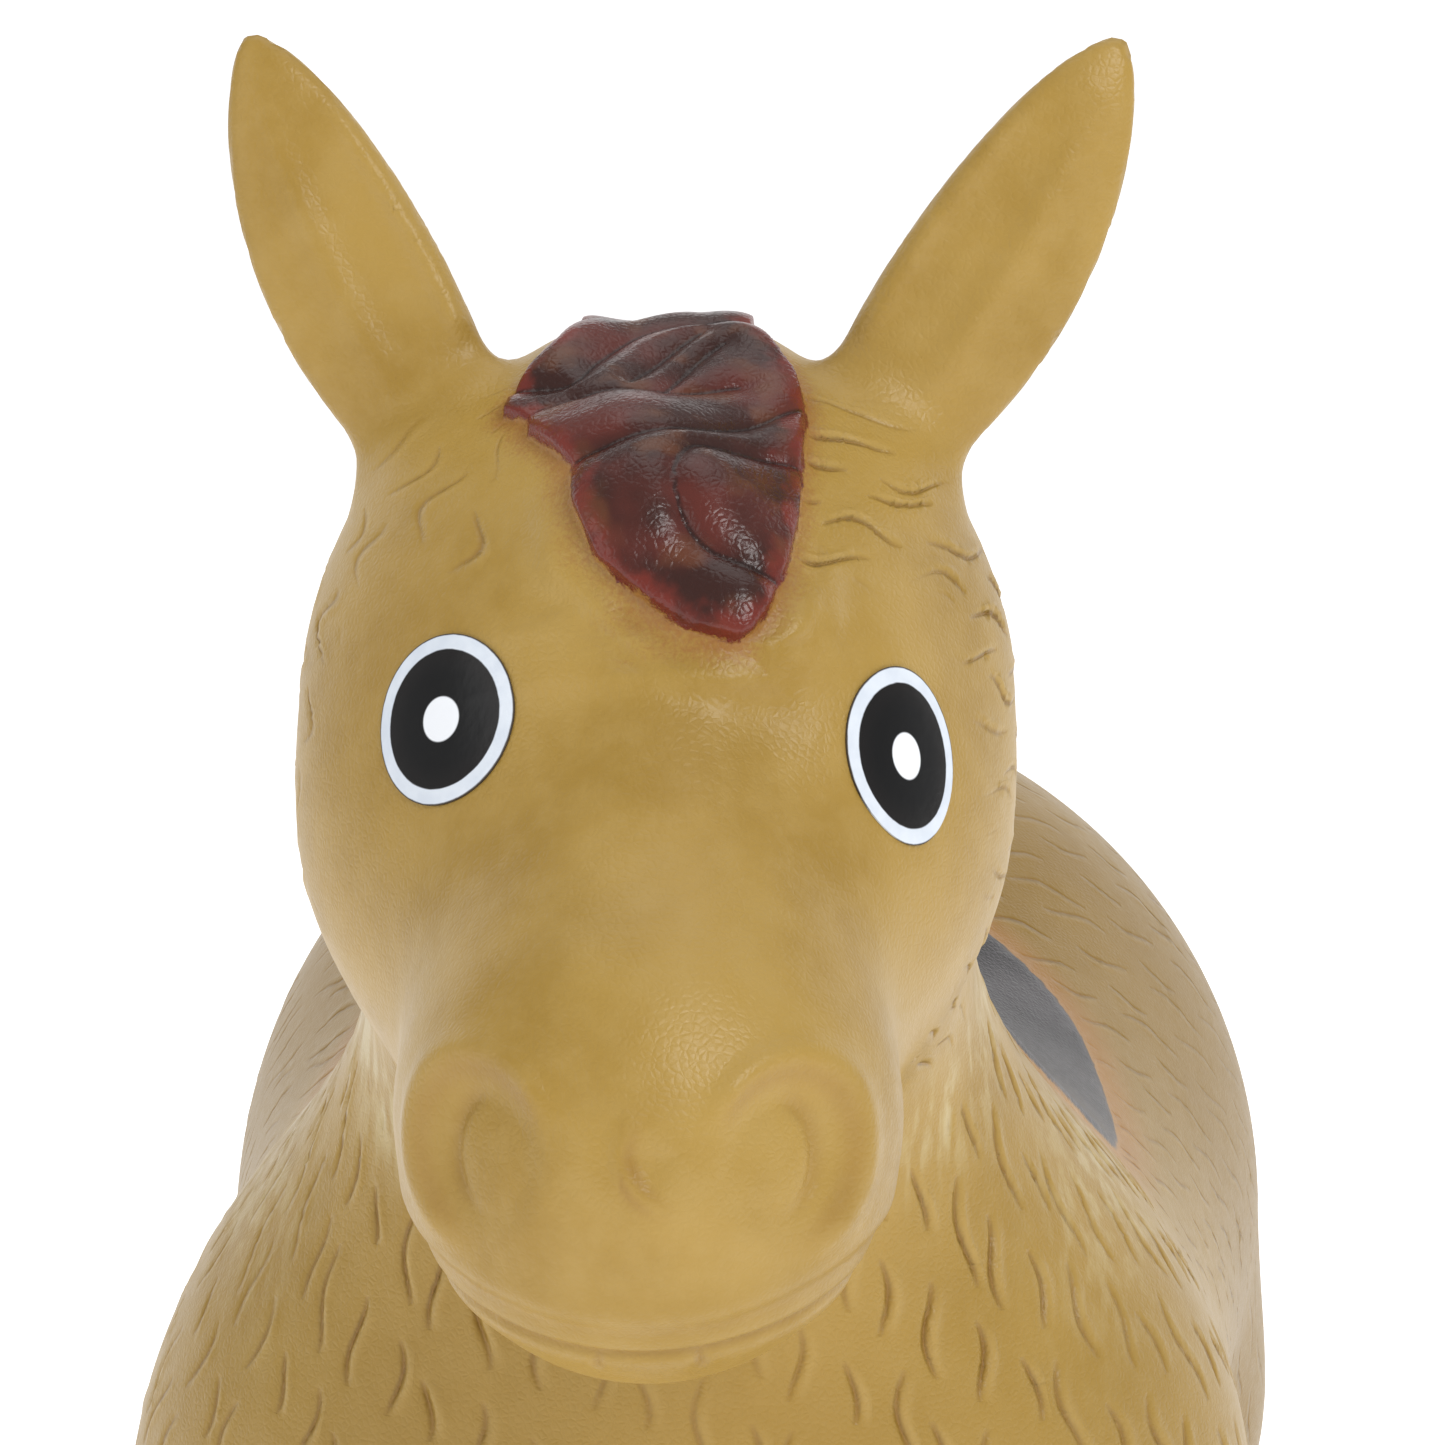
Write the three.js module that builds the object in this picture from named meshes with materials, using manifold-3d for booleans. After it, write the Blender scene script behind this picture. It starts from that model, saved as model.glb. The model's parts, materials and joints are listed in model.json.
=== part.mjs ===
// Inflatable hopping horse: one air-filled PVC moulding that a child rides astride while holding the
// two soft ears. Millimetres, +Z up. The horse faces -Y, its left side is +X, and it stands on Z = 0.

import * as THREE from 'three';
import { mergeVertices } from 'three/addons/utils/BufferGeometryUtils.js';
import Module from 'manifold-3d';

const wasm = await Module();
wasm.setup();

const DEG = THREE.MathUtils.DEG2RAD;

// ---------------------------------------------------------------- driving dimensions

const WALL = 2; // skin thickness
const SOLE_WALL = 4; // the soles wear, so they are moulded thicker
const GAP = 0.4; // clearance between neighbouring solids
const SKIN_STEP = 18; // size of the faces outside
const LINING_STEP = 21; // size of the faces inside the air space
const CUT_REACH = 400; // half size of the block that trims the horse level with the floor

const EAR = {
  hinge: [46.3, -162, 442], // middle of the left root
  splay: { left: 31, right: 26 }, // degrees outwards from upright
  lean: 6, // degrees backwards from upright
  length: { left: 91, right: 86 },
  bow: 2, // how far the blade curves outwards half way up
  rootHalfWidth: 17,
  rootRadius: 9.5,
};

const EYE = { thick: 0.6, rings: 3, spokes: 24 };

const HEAD_TURN = 5; // how far the muzzle sits towards the horse's left

const VALVE = {
  seat: [0, 262, 122], // on the rump, under the tail
  pitch: -14, // degrees above level that the valve faces
  boreRadius: 4.4,
  dishRadius: 10.5,
  dishDepth: 2.6,
  bossRadius: 14,
  bossDepth: 15,
};

const STOPPER = { capRadius: 8.5, capThick: 2.2, shankRadius: 4, tipRadius: 3.1, length: 24 };

const COLOURS = { skin: 0xb9964f, eye: 0xd8dee8, stopper: 0xe9e6dc };

// ---------------------------------------------------------------- distance fields

// Each shape is a function of (x, y, z) that gives the distance to its surface, negative inside.

const ellipsoid = ([cx, cy, cz], [rx, ry, rz]) => (x, y, z) => {
  const near = Math.hypot((x - cx) / rx, (y - cy) / ry, (z - cz) / rz);
  const slope = Math.hypot((x - cx) / rx ** 2, (y - cy) / ry ** 2, (z - cz) / rz ** 2);
  return slope < 1e-9 ? -Math.min(rx, ry, rz) : (near * (near - 1)) / slope;
};

// A straight limb with round ends, whose radius changes evenly from ra at a to rb at b.
const limb = ([ax, ay, az], [bx, by, bz], ra, rb) => {
  const [dx, dy, dz] = [bx - ax, by - ay, bz - az];
  const length2 = dx * dx + dy * dy + dz * dz;
  return (x, y, z) => {
    const along = ((x - ax) * dx + (y - ay) * dy + (z - az) * dz) / length2;
    const t = THREE.MathUtils.clamp(along, 0, 1);
    return Math.hypot(x - ax - t * dx, y - ay - t * dy, z - az - t * dz) - ra - t * (rb - ra);
  };
};

// Joins two distances with a fillet about k wide.
const fillet = (a, b, k) => {
  const h = Math.max(k - Math.abs(a - b), 0) / k;
  return Math.min(a, b) - (h * h * k) / 4;
};

// The moulding's masses, in the order that they are joined. Those off the middle are mirrored.
const MASSES = [
  { shape: ellipsoid([0, 45, 186], [125, 172, 105]), k: 1 }, // belly and back
  { shape: ellipsoid([0, -85, 180], [124, 88, 105]), k: 60 }, // chest
  { shape: ellipsoid([0, 160, 192], [131, 112, 128]), k: 60 }, // rump
  { shape: limb([79, -88, 120], [85, -112, 0], 54, 49), k: 40 }, // fore legs
  { shape: limb([78, 165, 120], [86, 198, 0], 57, 51), k: 40 }, // hind legs
  { shape: limb([0, -95, 240], [0, -138, 350], 78, 60), k: 50 }, // neck
  { shape: ellipsoid([0, -165, 386], [73, 64, 69]), k: 24 }, // cranium
  { shape: ellipsoid([29, -182, 356], [40, 46, 40]), k: 20 }, // cheeks
  { shape: limb([0, -160, 330], [0, -235, 322], 52, 40), k: 24 }, // jaw
  { shape: limb([0, -195, 372], [0, -247, 328], 50, 44), k: 24 }, // bridge of the nose
  { shape: ellipsoid([0, -258, 318.5], [44.5, 44, 46.5]), k: 16 }, // muzzle
  { shape: limb([34, -158, 408], [40.5, -161, 430], 26, 14), k: 20 }, // ear stumps
  { shape: limb([0, -140, 430], [0, -92, 388], 26, 24), k: 18 }, // mane, over the poll
  { shape: limb([0, -92, 388], [0, -34, 294], 24, 20), k: 24 }, // mane, down the neck
  { shape: limb([0, 246, 262], [0, 268, 165], 27, 17), k: 30 }, // tail
];
const FORELOCK = [
  limb([-8, -158, 437], [2, -206, 424], 24, 20),
  limb([10, -158, 437], [19, -219, 409], 24, 14),
];

const horse = (x, y, z) => {
  const side = Math.abs(x - HEAD_TURN * THREE.MathUtils.smoothstep(-y, 185, 265));
  const body = MASSES.reduce((d, { shape, k }) => fillet(d, shape(side, y, z), k), 1e3);
  return FORELOCK.reduce((d, lock) => fillet(d, lock(x, y, z), 12), body);
};

// ---------------------------------------------------------------- from field to mesh

const slopeOf = (field, x, y, z, e = 0.4) => [
  (field(x + e, y, z) - field(x - e, y, z)) / (2 * e),
  (field(x, y + e, z) - field(x, y - e, z)) / (2 * e),
  (field(x, y, z + e) - field(x, y, z - e)) / (2 * e),
];

// Moves a point straight onto the surface where the field equals level.
const settle = (field, [x, y, z], level = 0) => {
  for (let i = 0; i < 4; i++) {
    const d = field(x, y, z) - level;
    const [gx, gy, gz] = slopeOf(field, x, y, z);
    const share = d / (gx * gx + gy * gy + gz * gz || 1);
    x -= share * gx;
    y -= share * gy;
    z -= share * gz;
  }
  return [x, y, z];
};

const bufferGeometry = (positions, index) => {
  const geometry = new THREE.BufferGeometry();
  geometry.setAttribute('position', new THREE.Float32BufferAttribute(positions, 3));
  geometry.setIndex(index);
  return geometry;
};

// A grid cell's corners, edges and faces. Bits 0, 1 and 2 of a corner's number are X, Y and Z.
const CORNERS = [0, 1, 2, 3, 4, 5, 6, 7].map((c) => [c & 1, (c >> 1) & 1, c >> 2]);
const EDGES = CORNERS.flatMap((_, c) => [1, 2, 4].filter((bit) => !(c & bit)).map((bit) => [c, c | bit]));
const FACES = [[1, 2, 4], [2, 4, 1], [4, 1, 2]].flatMap(([u, v, w]) =>
  [0, w].map((base) => [base, base | u, base | u | v, base | v]),
);
const edgeOf = (a, b) => EDGES.findIndex(([c, d]) => c === Math.min(a, b) && d === Math.max(a, b));

// The grid edges that a quad is put round: the edge's own direction and the two across it.
const QUAD_FRAMES = [
  [[1, 0, 0], [0, 1, 0], [0, 0, 1]],
  [[0, 1, 0], [0, 0, 1], [1, 0, 0]],
  [[0, 0, 1], [1, 0, 0], [0, 1, 0]],
];

// Numbers each crossed edge of a cell by the sheet of surface that it belongs to, and -1 elsewhere.
// Each run of inside corners round a face joins the two crossed edges at its ends.
const sheetsOf = (inside) => {
  const sheet = EDGES.map(([a, b], e) => (inside[a] === inside[b] ? -1 : e));
  for (const face of FACES)
    for (let first = 0; first < 4; first++) {
      const before = face[(first + 3) % 4];
      if (inside[before] || !inside[face[first]]) continue;
      let last = first;
      while (inside[face[(last + 1) % 4]]) last++;
      const keep = sheet[edgeOf(before, face[first])];
      const drop = sheet[edgeOf(face[last % 4], face[(last + 1) % 4])];
      sheet.forEach((s, e) => {
        if (s === drop) sheet[e] = keep;
      });
    }
  return sheet;
};

// Surface nets: a vertex for each sheet of surface in a grid cell, and a quad round each grid edge
// that the surface crosses. The grid is centred on X = 0, so both sides of the horse mesh alike.
const surfaceOf = (field, level, step) => {
  const half = Math.ceil(160 / step) + 0.5;
  const low = [-half * step, -350, -100];
  const n = [2 * half + 1, Math.ceil(700 / step), Math.ceil(600 / step)];
  const at = (i, j, k) => (i * n[1] + j) * n[2] + k;
  const point = (...cell) => cell.map((m, axis) => low[axis] + m * step);
  const visit = (from, to, call) => {
    for (let i = from; i < n[0] - to; i++)
      for (let j = from; j < n[1] - to; j++) for (let k = from; k < n[2] - to; k++) call(i, j, k);
  };

  const value = new Float64Array(n[0] * n[1] * n[2]);
  visit(0, 0, (i, j, k) => {
    value[at(i, j, k)] = field(...point(i, j, k)) - level;
  });

  const vertexOf = new Int32Array(value.length * EDGES.length);
  const positions = [];
  visit(0, 1, (i, j, k) => {
    const d = CORNERS.map(([a, b, c]) => value[at(i + a, j + b, k + c)]);
    const sheet = sheetsOf(d.map((v) => v < 0));
    const crossing = ([a, b]) => {
      const t = d[a] / (d[a] - d[b]);
      return [i, j, k].map((m, axis) => m + CORNERS[a][axis] + t * (CORNERS[b][axis] - CORNERS[a][axis]));
    };
    for (const s of new Set(sheet.filter((e) => e >= 0))) {
      const edges = EDGES.map((_, e) => e).filter((e) => sheet[e] === s);
      const crossings = edges.map((e) => crossing(EDGES[e]));
      const middle = [0, 1, 2].map((axis) => crossings.reduce((sum, c) => sum + c[axis], 0) / edges.length);
      for (const e of edges) vertexOf[at(i, j, k) * EDGES.length + e] = positions.length / 3;
      positions.push(...settle(field, point(...middle), level));
    }
  });

  const index = [];
  visit(1, 1, (i, j, k) => {
    for (const [e, f, g] of QUAD_FRAMES) {
      const inside = value[at(i, j, k)] < 0;
      if (inside === value[at(i + e[0], j + e[1], k + e[2])] < 0) continue;
      const [a, b, c, d] = [[0, 0], [1, 0], [1, 1], [0, 1]].map(([p, q]) => {
        const shift = f.map((_, axis) => p * f[axis] + q * g[axis]);
        const corner = shift[0] + 2 * shift[1] + 4 * shift[2];
        const edge = edgeOf(corner, corner + e[0] + 2 * e[1] + 4 * e[2]);
        return vertexOf[at(i - shift[0], j - shift[1], k - shift[2]) * EDGES.length + edge];
      });
      index.push(...(inside ? [a, b, c, a, c, d] : [a, c, b, a, d, c]));
    }
  });
  return bufferGeometry(positions, index);
};

// A skin over closed rings of the same number of points, with a flat or pointed end at each end.
const loft = (rings) => {
  const count = rings[0].length;
  const index = [];
  rings.slice(1).forEach((ring, r) =>
    ring.forEach((_, i) => {
      const [a, b] = [r * count + i, r * count + ((i + 1) % count)];
      index.push(a, b, b + count, a, b + count, a + count);
    }),
  );
  const last = (rings.length - 1) * count;
  for (let i = 1; i < count - 1; i++) index.push(0, i + 1, i, last, last + i, last + i + 1);
  return bufferGeometry(rings.flat(2), index);
};

// ---------------------------------------------------------------- from mesh to solid

const solidOf = (geometry) => {
  const bare = geometry.clone();
  bare.deleteAttribute('normal');
  bare.deleteAttribute('uv');
  const merged = mergeVertices(bare, 1e-3);
  const corners = [...merged.index.array];
  // Faces that close up on a lathe's axis have no area and are left out.
  const triVerts = corners.filter((_, i) => {
    const [a, b, c] = corners.slice(i - (i % 3), i - (i % 3) + 3);
    return a !== b && b !== c && c !== a;
  });
  const vertProperties = merged.attributes.position.array;
  return new wasm.Manifold(
    new wasm.Mesh({ numProp: 3, vertProperties, triVerts: new Uint32Array(triVerts) }),
  );
};

const meshOf = (name, solid, color, roughness) => {
  const { vertProperties, triVerts } = solid.getMesh();
  const geometry = bufferGeometry(vertProperties, [...triVerts]);
  geometry.computeVertexNormals();
  const material = new THREE.MeshStandardMaterial({ color, roughness, metalness: 0 });
  const mesh = new THREE.Mesh(geometry, material);
  mesh.name = name;
  return mesh;
};

const blockBelow = (height) =>
  solidOf(new THREE.BoxGeometry(2 * CUT_REACH, 2 * CUT_REACH, CUT_REACH).translate(0, 0, height - CUT_REACH / 2));

// ---------------------------------------------------------------- ears

const SIDES = { left: 1, right: -1 };

// An ear's frame: X across its width, Y through its thickness, Z along its length.
const earFrame = (side) => {
  const turn = new THREE.Euler(-EAR.lean * DEG, SIDES[side] * EAR.splay[side] * DEG, 0, 'YXZ');
  const [x, y, z] = EAR.hinge;
  return new THREE.Matrix4().makeRotationFromEuler(turn).setPosition(SIDES[side] * x, y, z);
};

// The root is round about the hinge line, so it turns in its socket without touching it.
const earRoot = (side, grow = 0) =>
  solidOf(
    new THREE.SphereGeometry(1, 18, 12)
      .rotateZ(Math.PI / 2)
      .scale(EAR.rootHalfWidth + grow, EAR.rootRadius + grow, EAR.rootRadius + grow)
      .applyMatrix4(earFrame(side)),
  );

// The blade's half width at stations along it, as shares of its length.
const EAR_OUTLINE = [
  [0, 15.5],
  [0.15, 17.6],
  [0.3, 18.6],
  [0.45, 18.2],
  [0.6, 16.6],
  [0.75, 13.6],
  [0.87, 9.8],
  [0.95, 6.2],
  [1, 1.5],
];

const earBlade = (side) => {
  const rings = EAR_OUTLINE.map(([t, halfWidth]) => {
    const halfThickness = (7.2 - 2.4 * t) * Math.min(1, 0.25 + halfWidth / 12);
    const bow = EAR.bow * SIDES[side] * Math.sin(Math.PI * t);
    return Array.from({ length: 20 }, (_, i) => {
      const a = (i / 20) * 2 * Math.PI;
      return [halfWidth * Math.cos(a) + bow, halfThickness * Math.sin(a), t * EAR.length[side]];
    });
  });
  return solidOf(loft(rings).applyMatrix4(earFrame(side)));
};

const ear = (side) =>
  meshOf(`${side}_ear`, earRoot(side).add(earBlade(side)), COLOURS.skin, 0.45);

// ---------------------------------------------------------------- eye stickers

// A thin printed vinyl disc pressed onto the curved head. The outline is a little pointed below.
const eyeSticker = (name, centre, halfWidth, halfHeight) => {
  const seat = settle(horse, centre);
  const normal = new THREE.Vector3(...slopeOf(horse, ...seat)).normalize();
  const across = new THREE.Vector3(0, 0, 1).cross(normal).normalize();
  const up = normal.clone().cross(across);
  const pointAt = (share, a, level) => {
    const u = share * halfWidth * Math.cos(a) * (1 + 0.1 * Math.sin(a));
    const v = share * halfHeight * Math.sin(a);
    const flat = new THREE.Vector3(...seat).addScaledVector(across, u).addScaledVector(up, v);
    return settle(horse, flat.toArray(), level);
  };
  const ringAt = (share, level) =>
    Array.from({ length: EYE.spokes }, (_, i) => pointAt(share, (i / EYE.spokes) * 2 * Math.PI, level));
  const shares = Array.from({ length: EYE.rings }, (_, r) => (r + 1) / EYE.rings);
  const back = shares.map((share) => ringAt(share, GAP));
  const front = shares.map((share) => ringAt(share, GAP + EYE.thick));
  return meshOf(name, solidOf(loft([...back, ...front.reverse()])), COLOURS.eye, 0.3);
};

// ---------------------------------------------------------------- valve and stopper

const valveFrame = new THREE.Matrix4()
  .makeRotationX((VALVE.pitch - 90) * DEG)
  .setPosition(...settle(horse, VALVE.seat));

// Turns a profile of [radius, height out of the horse] points about the valve's axis.
const aboutValve = (profile) =>
  solidOf(
    new THREE.LatheGeometry(profile.map(([r, h]) => new THREE.Vector2(r, h)), 24)
      .rotateX(Math.PI / 2)
      .applyMatrix4(valveFrame),
  );

const valveHole = aboutValve([
  [0, -60],
  [VALVE.boreRadius, -60],
  [VALVE.boreRadius, -VALVE.dishDepth],
  [VALVE.dishRadius, -VALVE.dishDepth],
  [VALVE.dishRadius + 2, 14],
  [0, 14],
]);

const valveBoss = aboutValve([
  [0, -VALVE.bossDepth],
  [VALVE.bossRadius - 1.5, -VALVE.bossDepth],
  [VALVE.bossRadius, 1.5 - VALVE.bossDepth],
  [VALVE.bossRadius + 2, 14],
  [0, 14],
]);

const stopper = () => {
  const seat = GAP - VALVE.dishDepth;
  const { capRadius, capThick, shankRadius, tipRadius, length } = STOPPER;
  const ribs = [4, 8, 12].flatMap((depth) => [
    [shankRadius - 0.5, seat - depth],
    [shankRadius, seat - depth - 1],
    [shankRadius, seat - depth - 2],
    [shankRadius - 0.5, seat - depth - 3],
  ]);
  const profile = [
    [0, seat + capThick + 0.6],
    [capRadius - 2, seat + capThick + 0.4],
    [capRadius, seat + capThick - 0.6],
    [capRadius, seat],
    [shankRadius, seat],
    ...ribs,
    [tipRadius, seat - length],
    [0, seat - length],
  ].reverse();
  return meshOf('air_stopper', aboutValve(profile), COLOURS.stopper, 0.35);
};

// ---------------------------------------------------------------- skin

const sockets = (grow) => Object.keys(SIDES).map((side) => earRoot(side, GAP + grow));

const skin = () => {
  const outside = [...sockets(0), blockBelow(0)].reduce(
    (solid, cut) => solid.subtract(cut),
    solidOf(surfaceOf(horse, 0, SKIN_STEP)),
  );
  const airSpace = [...sockets(WALL), blockBelow(SOLE_WALL), valveBoss].reduce(
    (solid, cut) => solid.subtract(cut),
    solidOf(surfaceOf(horse, -WALL, LINING_STEP)),
  );
  return meshOf('air_skin', outside.subtract(airSpace).subtract(valveHole), COLOURS.skin, 0.45);
};

const group = new THREE.Group();
group.add(
  skin(),
  ear('left'),
  ear('right'),
  eyeSticker('left_eye_sticker', [50, -220.5, 384.5], 15, 17.5),
  eyeSticker('right_eye_sticker', [-39.5, -228, 392.5], 17.3, 17),
  stopper(),
);

// Stands the horse with the middle of its footprint on the origin.
const box = new THREE.Box3().setFromObject(group);
const middle = box.getCenter(new THREE.Vector3());
group.position.set(-middle.x, -middle.y, -box.min.z);

export default group;
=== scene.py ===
"""Inflatable hopping horse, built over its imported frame. Shapes are worked out in millimetres in the
moulding's own frame, whose Y is offset from the row frame, and turned into metres when a mesh is made."""

import json
import math

import bmesh
import bpy
import numpy as np
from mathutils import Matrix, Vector


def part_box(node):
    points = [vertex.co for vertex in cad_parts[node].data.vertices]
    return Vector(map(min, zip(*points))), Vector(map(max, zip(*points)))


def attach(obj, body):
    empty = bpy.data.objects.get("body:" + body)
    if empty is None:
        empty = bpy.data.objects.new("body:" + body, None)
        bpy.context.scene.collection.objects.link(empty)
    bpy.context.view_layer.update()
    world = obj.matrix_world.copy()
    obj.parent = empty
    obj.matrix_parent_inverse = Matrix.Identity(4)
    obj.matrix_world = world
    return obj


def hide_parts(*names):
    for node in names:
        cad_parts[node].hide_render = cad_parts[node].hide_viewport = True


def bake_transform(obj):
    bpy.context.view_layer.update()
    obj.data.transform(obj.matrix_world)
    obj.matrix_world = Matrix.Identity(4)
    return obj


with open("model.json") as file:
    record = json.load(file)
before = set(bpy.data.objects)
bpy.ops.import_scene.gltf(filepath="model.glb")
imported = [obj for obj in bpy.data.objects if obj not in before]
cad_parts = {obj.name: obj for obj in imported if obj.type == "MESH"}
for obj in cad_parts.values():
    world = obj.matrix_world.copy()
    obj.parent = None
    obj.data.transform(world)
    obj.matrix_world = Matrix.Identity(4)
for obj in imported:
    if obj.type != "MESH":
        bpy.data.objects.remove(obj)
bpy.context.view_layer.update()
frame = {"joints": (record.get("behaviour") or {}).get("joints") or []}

COARSE = 3.4  # mm, mesh size before it is refined where there is detail
FUR_ACROSS, FUR_ALONG = 10.0, 27.0  # mm, one engraved stroke in each cell of this size
HEAD_TURN = 5.0  # mm, how far the muzzle sits to the horse's left
HEAD_MIDDLE = np.array([0.0, -165.0, 385.0])
EYE_NUDGE = np.array([1.7, 0.0, 0.9])  # mm, from the middle of a sticker's box to the middle of its print
EYE_HALF_SIZES = {"left_eye_sticker": (15.0, 17.5), "right_eye_sticker": (17.3, 17.0)}  # mm
SADDLE_MIDDLE, SADDLE_HALF_LENGTH = -4.0, 76.0  # mm, along Y
BARREL_RADIUS, BARREL_HEIGHT = 120.0, 190.0  # mm, of the barrel that saddle and fur are laid out on
FACE_END, CHEST_END = -205.0, -30.0  # mm, along Y, where one piece of skin stops and the next begins
EAR_ROOT_Y = -162.0  # mm, in the moulding's own frame
PROBE = 0.35  # mm, half of the step that a slope is measured over
FIRST_SHARE, SECOND_SHARE = (0.7549, 0.5698), (0.3247, 0.8191)  # per column and row, to vary each stroke of fur
STROKE_WAVE, STROKE_LEAN, STROKE_SHORTEST, STROKE_EXTRA = 0.15, 0.4, 0.22, 0.25  # shares of a cell

joints = {j["name"]: j for j in frame["joints"]}
OFFSET_Y = joints["left_ear_flex"]["pos_m"][1] * 1000 - EAR_ROOT_Y
VALVE_AXIS = np.array(joints["stopper_pull"]["axis"])
VALVE_SEAT = np.array([0.0, 262.0, 122.0]) - 2.6 * VALVE_AXIS


# ---------------------------------------------------------------- small numeric helpers


def smoothstep(x, low, high):
    t = np.clip((x - low) / (high - low), 0, 1)
    return t * t * (3 - 2 * t)


def bell(x, width):
    return np.exp(-((x / width) ** 2))


def fillet(a, b, k):
    h = np.maximum(k - np.abs(a - b), 0) / k
    return np.minimum(a, b) - h * h * k / 4


def smooth_path(points, steps=8):
    """A Catmull-Rom line through the points."""
    p = np.array(points, float)
    p = np.vstack([2 * p[0] - p[1], p, 2 * p[-1] - p[-2]])
    t = np.linspace(0, 1, steps, endpoint=False)[:, None]
    runs = []
    for a, b, c, d in zip(p[:-3], p[1:-2], p[2:-1], p[3:]):
        runs.append(
            0.5 * (2 * b + (c - a) * t + (2 * a - 5 * b + 4 * c - d) * t**2 + (3 * b - a - 3 * c + d) * t**3)
        )
    return np.vstack([*runs, p[-2]])


def to_path(points, path):
    """Distance from each point to a polyline, and the share of the line's length where it is nearest."""
    path = smooth_path(path)
    best, share = np.full(len(points), 1e9), np.zeros(len(points))
    lengths = np.linalg.norm(np.diff(path, axis=0), axis=1)
    starts = np.concatenate([[0], np.cumsum(lengths)])
    for i, (a, b) in enumerate(zip(path[:-1], path[1:])):
        d = b - a
        t = np.clip(((points - a) @ d) / max(d @ d, 1e-9), 0, 1)
        away = np.linalg.norm(points - a - t[:, None] * d, axis=1)
        nearer = away < best
        best[nearer] = away[nearer]
        share[nearer] = ((starts[i] + t * lengths[i]) / starts[-1])[nearer]
    return best, share


# ---------------------------------------------------------------- the moulding as a distance field


def ellipsoid(centre, radii):
    c, r = np.array(centre, float), np.array(radii, float)

    def field(p):
        q = (p - c) / r
        near = np.linalg.norm(q, axis=-1)
        return near * (near - 1) / (np.linalg.norm(q / r, axis=-1) + 1e-9)

    return field


def limb(start, end, r0, r1):
    a, b = np.array(start, float), np.array(end, float)
    d = b - a

    def field(p):
        t = np.clip(((p - a) @ d) / (d @ d), 0, 1)
        return np.linalg.norm(p - a - t[..., None] * d, axis=-1) - r0 - t * (r1 - r0)

    return field


TORSO = [
    (ellipsoid([0, 45, 186], [125, 172, 105]), 1),
    (ellipsoid([0, -85, 180], [124, 88, 105]), 60),
    (ellipsoid([0, 160, 192], [131, 112, 128]), 60),
    (limb([79, -88, 120], [85, -112, 0], 54, 49), 40),
    (limb([78, 165, 120], [86, 198, 0], 57, 51), 40),
    (limb([0, -95, 240], [0, -138, 350], 78, 60), 50),
]
HEAD = [
    (ellipsoid([0, -165, 386], [73, 64, 69]), 24),
    (ellipsoid([29, -182, 356], [40, 46, 40]), 20),
    (limb([0, -160, 330], [0, -235, 322], 52, 40), 24),
    (limb([0, -195, 372], [0, -247, 328], 50, 44), 24),
    (ellipsoid([0, -258, 318.5], [44.5, 44, 46.5]), 16),
    (limb([34, -158, 408], [40.5, -161, 430], 26, 14), 20),
]
MANE = [(limb([0, -140, 430], [0, -92, 388], 26, 24), 18), (limb([0, -92, 388], [0, -34, 294], 24, 20), 24)]
TAIL = [(limb([0, 246, 262], [0, 268, 165], 27, 17), 30)]
FORELOCK = [
    (limb([-8, -158, 437], [2, -206, 424], 24, 20), 12),
    (limb([10, -158, 437], [19, -219, 409], 24, 14), 12),
]


def fold(masses, points, start=None):
    d = np.full(points.shape[:-1], 1e3) if start is None else start
    for shape, k in masses:
        d = fillet(d, shape(points), k)
    return d


def mirrored(points):
    """The points with X as a distance from the horse's middle, which bends with the head."""
    p = points.copy()
    p[..., 0] = np.abs(p[..., 0] - HEAD_TURN * smoothstep(-p[..., 1], 185, 265))
    return p


class Ear:
    """One ear's frame: X across its width, Y through it and towards the back, Z along it."""

    lean = math.radians(6)

    def __init__(self, side):
        joint = joints[side + "_ear_flex"]
        self.side = side
        self.sign = 1 if side == "left" else -1
        self.length = 91.5 if side == "left" else 87.0
        self.root = np.array(joint["pos_m"]) * 1000 - [0, OFFSET_Y, 0]
        x = np.array(joint["axis"])
        tilt = math.atan2(-x[2], x[0])
        back = math.sin(-self.lean)
        y = np.array([math.sin(tilt) * back, math.cos(self.lean), math.cos(tilt) * back])
        self.axes = np.array([x, y, np.cross(x, y)])

    def local(self, points):
        return (points - self.root) @ self.axes.T

    def world(self, points):
        return np.asarray(points) @ self.axes + self.root

    def half_width(self, t):
        low = 15.5 + 3.1 * np.sin(np.clip(t / 0.33, 0, 1) * math.pi / 2)
        s = np.clip((t - 0.33) / 0.675, 0, 1)
        return np.where(t < 0.33, low, np.maximum(18.6 * (1 - s**2) ** 0.68, 0.6))

    def field(self, points):
        """A leaf-shaped blade, hollowed in front, with a rolled rim and a soft keel behind."""
        q = self.local(points)
        t = np.clip(q[..., 2] / self.length, -0.15, 1)
        wide = self.half_width(t)
        bow = 2.0 * self.sign * np.sin(math.pi * np.clip(t, 0, 1))
        x = (q[..., 0] - bow) / wide
        deep = (7.0 - 2.6 * t) * np.minimum(1, 0.3 + wide / 13)
        inner = self.sign * x
        y = q[..., 1] + (2.0 * x**2 - 1.0) * smoothstep(t, 0.02, 0.3) * (1 - 0.6 * t)
        keel = bell(inner - 0.15, 0.2) * smoothstep(t, 0.05, 0.25) * (1 - smoothstep(t, 0.55, 0.95))
        rolled = bell(inner + 0.86, 0.13) * smoothstep(t, 0.12, 0.2) * (1 - smoothstep(t, 0.6, 0.9))
        y = y + (1.5 * keel + 2.0 * rolled) * (y < 0)
        y = y / deep
        near = np.hypot(x, y)
        d = near * (near - 1) / (np.hypot(x / wide, y / deep) + 1e-9)
        return np.maximum(d, np.maximum(q[..., 2] - self.length, -12 - q[..., 2]))


EARS = [Ear("left"), Ear("right")]


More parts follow.
